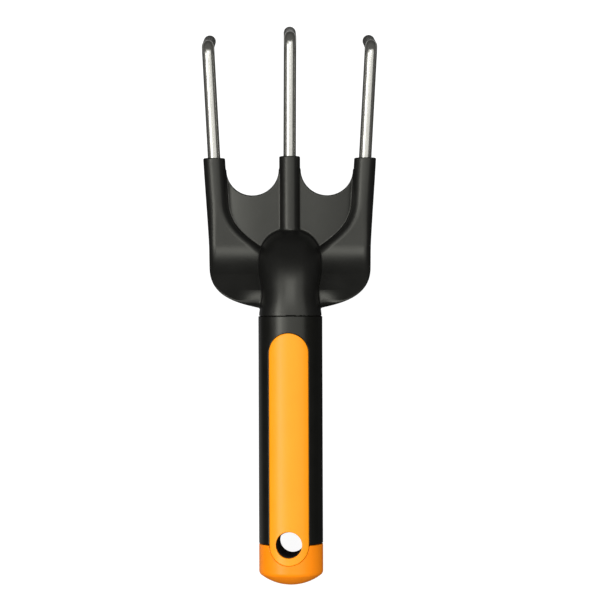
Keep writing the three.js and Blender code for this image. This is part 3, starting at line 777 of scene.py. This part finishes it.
# %% [markdown]
# ## Finishes
# All finishes are made of nodes, and their patterns are laid in the straight frame in
# millimetres: a Mapping node of the Texture kind undoes the tool's place and slant. Moulded
# plastic is never quite even. Its mould's skin is faintly rough, and handling leaves patches
# that shine a little more, so roughness and height both follow noise of two sizes. Painted
# images could hold the same marks, but noise needs no unwrapping and has no seams.

# %% Helpers for nodes
NOISE_SPREAD = (0.25, 0.75)


def node(tree, kind, settings=None, **values):
    """Adds a node, sets its properties, and sets or links its inputs by name."""
    made = tree.nodes.new("ShaderNode" + kind)
    for key, value in (settings or {}).items():
        setattr(made, key, value)
    for key, value in values.items():
        socket = made.inputs[key.replace("_", " ")]
        if isinstance(value, bpy.types.NodeSocket):
            tree.links.new(value, socket)
        else:
            socket.default_value = value
    return made


def new_finish(name):
    """An empty material with its node tree, and the shader whose sockets the caller sets."""
    finish = bpy.data.materials.new(name)
    finish.use_nodes = True
    tree = finish.node_tree
    return finish, tree, tree.nodes["Principled BSDF"]


def combined(tree, operation, first, second):
    """A Math node on two linked values."""
    made = node(tree, "Math", {"operation": operation})
    tree.links.new(first, made.inputs[0])
    tree.links.new(second, made.inputs[1])
    return made.outputs[0]


def mapped(tree, value, given, wanted, settings=None):
    """Stretches the given range of a value over the wanted range, and holds it at the ends."""
    made = node(tree, "MapRange", settings, Value=value)
    for side, ends in (("From", given), ("To", wanted)):
        made.inputs[side + " Min"].default_value = ends[0]
        made.inputs[side + " Max"].default_value = ends[1]
    return made.outputs["Result"]


def ranged(tree, value, low, high):
    """Takes noise, which keeps mostly to NOISE_SPREAD, to the range from low to high.

    A value that is only ever 0 or 1 gives one end of the range or the other."""
    return mapped(tree, value, NOISE_SPREAD, (low, high))


def band(tree, value, edges, low, high):
    """low, rising to high between the first two edges and back to low between the last two."""
    smooth = {"interpolation_type": "SMOOTHSTEP"}
    rising = mapped(tree, value, edges[:2], (low, high), smooth)
    falling = mapped(tree, value, edges[2:], (high, low), smooth)
    return combined(tree, "MINIMUM", rising, falling)


# %% Helpers for patterns
def straight_place(tree):
    """The straight frame's coordinates, in millimetres, of the point being shaded."""
    here = tree.nodes.new("ShaderNodeTexCoord").outputs["Object"]
    back = node(tree, "Mapping", {"vector_type": "TEXTURE"}, Vector=here)
    back.inputs["Location"].default_value = LIFT / MM_PER_M
    back.inputs["Rotation"].default_value = (float(np.arctan2(-lean, rise)), 0, 0)
    back.inputs["Scale"].default_value = (1 / MM_PER_M,) * 3
    return back.outputs["Vector"]


def noise(tree, place, scale, detail, roughness):
    """Noise from 0 to 1, with scale lumps in each unit of the place."""
    values = {"Vector": place, "Scale": scale, "Detail": detail, "Roughness": roughness}
    return node(tree, "TexNoise", **values).outputs["Fac"]


def coloured(tree, shader, share, dark, light):
    """Base colour between dark, where share is 0, and light, where it is 1."""
    mix = node(tree, "Mix", {"data_type": "RGBA"}, Factor=share)
    mix.inputs[6].default_value, mix.inputs[7].default_value = (*dark, 1), (*light, 1)
    tree.links.new(mix.outputs[2], shader.inputs["Base Color"])


def bumped(tree, shader, height, depth):
    """Tilts the shading as a height from 0 to 1, times a depth in metres, would."""
    bump = node(tree, "Bump", Height=height, Strength=1.0, Distance=depth)
    tree.links.new(bump.outputs["Normal"], shader.inputs["Normal"])


# %% Moulded plastic and rubber
WARM = (1.0, 1.0, 0.9)
GRAIN_ROUGHNESS = 0.02


def moulded(name, dark, light, roughness, patch, grain, depth, level=0.5, tint=(1, 1, 1)):
    """Plastic or rubber: colour and roughness drift in patches, and grain lifts the surface.

    patch and grain are noise scales per millimetre, depth is the grain's height in metres."""
    finish, tree, shader = new_finish(name)
    place = straight_place(tree)
    drift = noise(tree, place, patch, detail=4.0, roughness=0.6)
    fine = noise(tree, place, grain, detail=3.0, roughness=0.55)
    coloured(tree, shader, ranged(tree, drift, 0, 1), dark, light)
    worn = ranged(tree, drift, *roughness)
    grained = ranged(tree, fine, -GRAIN_ROUGHNESS, GRAIN_ROUGHNESS)
    tree.links.new(combined(tree, "ADD", worn, grained), shader.inputs["Roughness"])
    bumped(tree, shader, fine, depth)
    shader.inputs["Specular IOR Level"].default_value = level
    shader.inputs["Specular Tint"].default_value = (*tint, 1)
    return finish


head_finish = moulded(
    "satin_black_plastic", dark=(0.0055, 0.0055, 0.005), light=(0.0075, 0.0075, 0.007),
    roughness=(0.31, 0.37), patch=0.09, grain=2.4, depth=3e-6, level=0.56, tint=WARM,
)
grip_finish = moulded(
    "black_rubber", dark=(0.0035, 0.0035, 0.0028), light=(0.005, 0.005, 0.0042),
    roughness=(0.28, 0.34), patch=0.12, grain=3.2, depth=5e-6, level=0.56, tint=WARM,
)
core_finish = moulded(
    "dark_core_plastic", dark=(0.003, 0.003, 0.003), light=(0.005, 0.005, 0.005),
    roughness=(0.5, 0.6), patch=0.15, grain=2.0, depth=4e-6,
)
panel_finish = moulded(
    "orange_plastic", dark=(0.95, 0.306, 0.001), light=(0.97, 0.318, 0.001),
    roughness=(0.3, 0.37), patch=0.1, grain=2.6, depth=3e-6, level=0.35,
)
# The cap is the same orange as the panel. Its base is a deeper, redder orange, which paints in the
# redder tone that shade gives its curved sides: painted shade.
cap_finish = moulded(
    "orange_plastic_shade_deepened", dark=(0.97, 0.25, 0.001), light=(1.0, 0.262, 0.001),
    roughness=(0.28, 0.35), patch=0.1, grain=2.6, depth=3e-6, level=0.26,
)

# %% [markdown]
# ## Drawn steel
# Bright rod is pulled through a die, which leaves hair-fine lines along its length. The
# lines must follow the rod round its bend, so each tine carries its own attribute: the place
# on the unit circle of its section, and the length run along the rod. Noise that is
# tight round the circle and long along the rod then reads as drawing marks.

# %% Drawn steel
DULL_STEEL, BRIGHT_STEEL = (0.555, 0.548, 0.502), (0.59, 0.583, 0.54)
MARKS_ROUND, MARKS_ALONG, MARK_DEPTH = 9.0, 0.05, 2e-6
STEEL_PATCH = 0.12
STEEL_ROUGHNESS = (0.1, 0.28)
STEEL_METALLIC = 0.93


def drawn_steel():
    """Metal whose roughness and height follow noise stretched along each rod, and whose tint
    drifts in soft patches."""
    finish, tree, shader = new_finish("drawn_steel")
    own = node(tree, "Attribute", {"attribute_name": "drawn"}).outputs["Vector"]
    stretch = (MARKS_ROUND, MARKS_ROUND, MARKS_ALONG)
    stretched = node(tree, "Mapping", Vector=own, Scale=stretch).outputs["Vector"]
    lines = noise(tree, stretched, scale=1.0, detail=5.0, roughness=0.7)
    patches = noise(tree, straight_place(tree), STEEL_PATCH, detail=2.0, roughness=0.5)
    coloured(tree, shader, ranged(tree, patches, 0, 1), DULL_STEEL, BRIGHT_STEEL)
    tree.links.new(ranged(tree, lines, *STEEL_ROUGHNESS), shader.inputs["Roughness"])
    bumped(tree, shader, lines, MARK_DEPTH)
    shader.inputs["Metallic"].default_value = STEEL_METALLIC
    return finish


steel_finish = drawn_steel()

# %% Give each piece its finish
finishes = {
    head_finish: [head_moulding],
    grip_finish: [grip_sleeve],
    panel_finish: [panel_plate],
    cap_finish: [cap_moulding],
    steel_finish: rods,
    core_finish: [frame["nodes"]["handle_core"]],
}
for finish, pieces in finishes.items():
    for piece in pieces:
        piece.data.materials.clear()
        piece.data.materials.append(finish)
    print(finish.name, "on", ", ".join(piece.name for piece in pieces))

# %% [markdown]
# ## Floor and background
# The photograph's ground is plain white. The floor is a grey that takes the tool's soft
# shadow, and it glows only towards the camera, which lifts it to white without adding light
# to the tool. The world does the same above the floor. To reflections the floor is
# painted shade, dark, but for two painted pools of light: a strip along the handle, under it
# and to its left, and a band beyond the tines' tips.

# %% Floor
FLOOR_HALF = 6.0
FLOOR_GREY, FLOOR_PAINTED_SHADE = 0.2, 0.03
CAMERA_GLOW = 0.93
# The lit strip and band, and the dark floor elsewhere, are painted light and painted shade that
# only reflections see.
LIT_STRIP_ACROSS, LIT_STRIP_ALONG = (-0.075, -0.045, -0.02, 0.02), (-0.15, -0.14, 0.02, 0.05)
LIT_BAND_ALONG = (0.151, 0.155, 0.166, 0.174)
STRIP_PAINTED_LIGHT, BAND_PAINTED_LIGHT = 0.19, 0.32


def painted_floor_light(tree):
    """Painted shade on the floor as gloss sees it, lifted to the greater of two painted lights."""
    place = tree.nodes.new("ShaderNodeTexCoord").outputs["Object"]
    here = node(tree, "SeparateXYZ", Vector=place).outputs
    across = band(tree, here["X"], LIT_STRIP_ACROSS, FLOOR_PAINTED_SHADE, STRIP_PAINTED_LIGHT)
    along = band(tree, here["Y"], LIT_STRIP_ALONG, FLOOR_PAINTED_SHADE, STRIP_PAINTED_LIGHT)
    beyond = band(tree, here["Y"], LIT_BAND_ALONG, FLOOR_PAINTED_SHADE, BAND_PAINTED_LIGHT)
    return combined(tree, "MAXIMUM", combined(tree, "MINIMUM", across, along), beyond)


def white_sweep():
    """Grey to the light, white to the camera, and painted shade and painted light in reflections.
    """
    finish, tree, shader = new_finish("white_sweep")
    rays = tree.nodes.new("ShaderNodeLightPath").outputs
    grey = node(tree, "Mix", {"data_type": "FLOAT"}, Factor=rays["Is Glossy Ray"])
    grey.inputs[2].default_value = FLOOR_GREY
    tree.links.new(painted_floor_light(tree), grey.inputs[3])
    tree.links.new(grey.outputs[0], shader.inputs["Base Color"])
    glow = ranged(tree, rays["Is Camera Ray"], 0, CAMERA_GLOW)
    tree.links.new(glow, shader.inputs["Emission Strength"])
    shader.inputs["Emission Color"].default_value = (1, 1, 1, 1)
    shader.inputs["Roughness"].default_value = 1.0
    shader.inputs["Specular IOR Level"].default_value = 0.0
    return finish


floor_mesh = bpy.data.meshes.new("floor")
signs = [(-1, -1), (1, -1), (1, 1), (-1, 1)]
floor_points = [(FLOOR_HALF * x, FLOOR_HALF * y, 0.0) for x, y in signs]
floor_mesh.from_pydata(floor_points, [], [(0, 1, 2, 3)])
floor = bpy.data.objects.new("floor", floor_mesh)
bpy.context.scene.collection.objects.link(floor)
floor.data.materials.append(white_sweep())
print("floor", 2 * FLOOR_HALF, "m each way")

# %% World
WORLD_LIGHT, WORLD_GLOSS = 0.5, 0.07

world = bpy.data.worlds.new("studio")
world.use_nodes = True
bpy.context.scene.world = world
tree = world.node_tree
rays = tree.nodes.new("ShaderNodeLightPath").outputs
dark_to_gloss = ranged(tree, rays["Is Glossy Ray"], WORLD_LIGHT, WORLD_GLOSS)
sky = combined(tree, "MAXIMUM", rays["Is Camera Ray"], dark_to_gloss)
tree.links.new(sky, tree.nodes["Background"].inputs["Strength"])
tree.nodes["Background"].inputs["Color"].default_value = (1, 1, 1, 1)
print("world of strength 1 to the camera,", WORLD_LIGHT, "to the tool,", WORLD_GLOSS, "in gloss")

# %% [markdown]
# ## Lamps
# The reflections in the black plastic tell where the lamps stood: a broad soft box overhead
# that reaches about fifty degrees to each side, here in two halves that face the tool, a wide
# and a narrow bright strip over its left part, a dim lamp far to the left, and a small lamp
# beyond the tines, which the rods show. One picture of a studio could light the tool too, but
# lamps can be moved one at a time. A lamp's power is its radiance times pi times its area, so
# its brightness as a reflection can be set directly.

# %% Lamps above the tool
# Each lamp has two angles from the straight frame's z, to the left and towards the tines, in
# degrees, its distance and its two sizes, in metres, and its radiance.
TARGET = np.array([0.0, 5.5, 0.0])
LAMPS = {
    "left_box": (24.2, 2, 1.4, (1.25, 2.1), 0.95),
    "right_box": (-25.0, 2, 1.4, (1.30, 2.1), 0.98),
    "left_wide": (32, -10, 1.7, (1.1, 1.37), 1.05),
    "left_core": (40.5, -10, 1.7, (0.45, 1.37), 3.1),
    "left_far": (62, 0, 1.7, (0.62, 1.4), 0.42),
    "far_lamp": (0, 22, 1.6, (0.8, 0.5), 2.6),
}


def lamp(name, left, towards_tines, distance, size, radiance):
    """A soft box at two angles from the straight frame's z, facing the tool."""
    light = bpy.data.lights.new(name, "AREA")
    light.shape = "RECTANGLE"
    light.size, light.size_y = size
    light.energy = radiance * pi * size[0] * size[1]
    box = bpy.data.objects.new(name, light)
    direction = np.array([-tan(radians(left)), tan(radians(towards_tines)), 1.0])
    direction /= np.linalg.norm(direction)
    back = STAND @ direction
    right = np.cross(STAND @ np.array([0, 1.0, 0]), back)
    right /= np.linalg.norm(right)
    turn = Matrix(np.column_stack([right, np.cross(back, right), back]).tolist()).to_4x4()
    turn.translation = stood(TARGET[None] + MM_PER_M * distance * direction)[0]
    box.matrix_world = turn
    box.visible_camera = False
    bpy.context.scene.collection.objects.link(box)
    print(name, "of", round(light.energy, 2), "W")


for name, settings in LAMPS.items():
    lamp(name, *settings)

# %% [markdown]
# ## Camera
# The photograph looks at the tool square to its handle, from about 1.15 m. So the camera stands
# on the straight frame's z, with its picture's middle a little right of the tool, and it is
# rolled by a fifth of a degree, as the tool leans in the picture.

# %% Camera
VIEW_AT = np.array([-5.0, 5.53, 0.0])
VIEW_FROM = 1152.0
VIEW_ANGLE, VIEW_SHIFT = radians(15.1), 0.0405
ROLL = radians(0.20)

camera = bpy.data.cameras.new("camera")
camera.angle = VIEW_ANGLE
camera.shift_x = VIEW_SHIFT
view = bpy.data.objects.new("camera", camera)
axes = np.array([[cos(ROLL), sin(ROLL), 0], [-sin(ROLL), cos(ROLL), 0], [0, 0, 1]])
pose = Matrix((STAND @ axes).tolist()).to_4x4()
pose.translation = stood(VIEW_AT[None] + [0, 0, VIEW_FROM])[0]
view.matrix_world = pose
bpy.context.scene.collection.objects.link(view)
bpy.context.scene.camera = view
bpy.context.scene.view_settings.view_transform = "Standard"
print("camera at", [round(v, 3) for v in pose.translation], "m")
